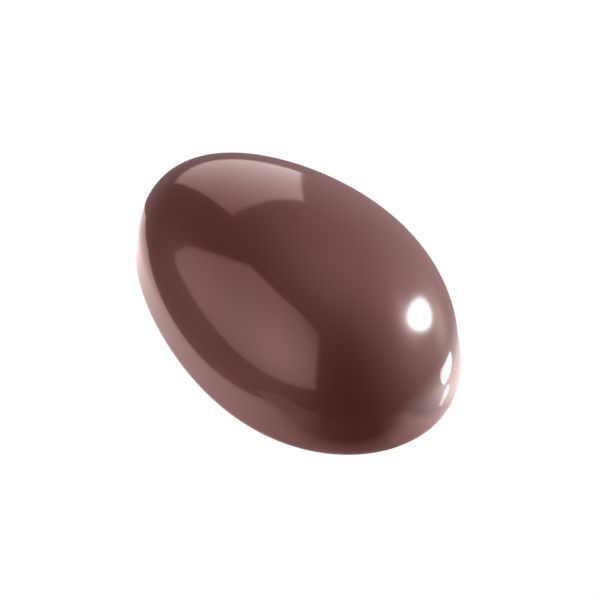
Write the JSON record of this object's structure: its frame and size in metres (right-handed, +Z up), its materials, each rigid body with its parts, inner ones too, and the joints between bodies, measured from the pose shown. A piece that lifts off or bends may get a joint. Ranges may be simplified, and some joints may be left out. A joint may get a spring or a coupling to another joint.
{
  "type": "moulded half chocolate egg",
  "caption": "Half egg of solid moulded chocolate with a smooth glossy dome, a low drafted wall and a flat underside to rest on.",
  "frame": {"origin": "centre of the flat underside, at the middle of the bounding box", "axes": "+X along the egg towards its blunt end, +Z up from the flat underside, +Y across"},
  "size_m": [0.0378, 0.0244, 0.0157],
  "materials": {
    "chocolate": "glossy tempered chocolate"
  },
  "bodies": {
    "root": {"half_egg": "chocolate"}
  },
  "joints": []
}
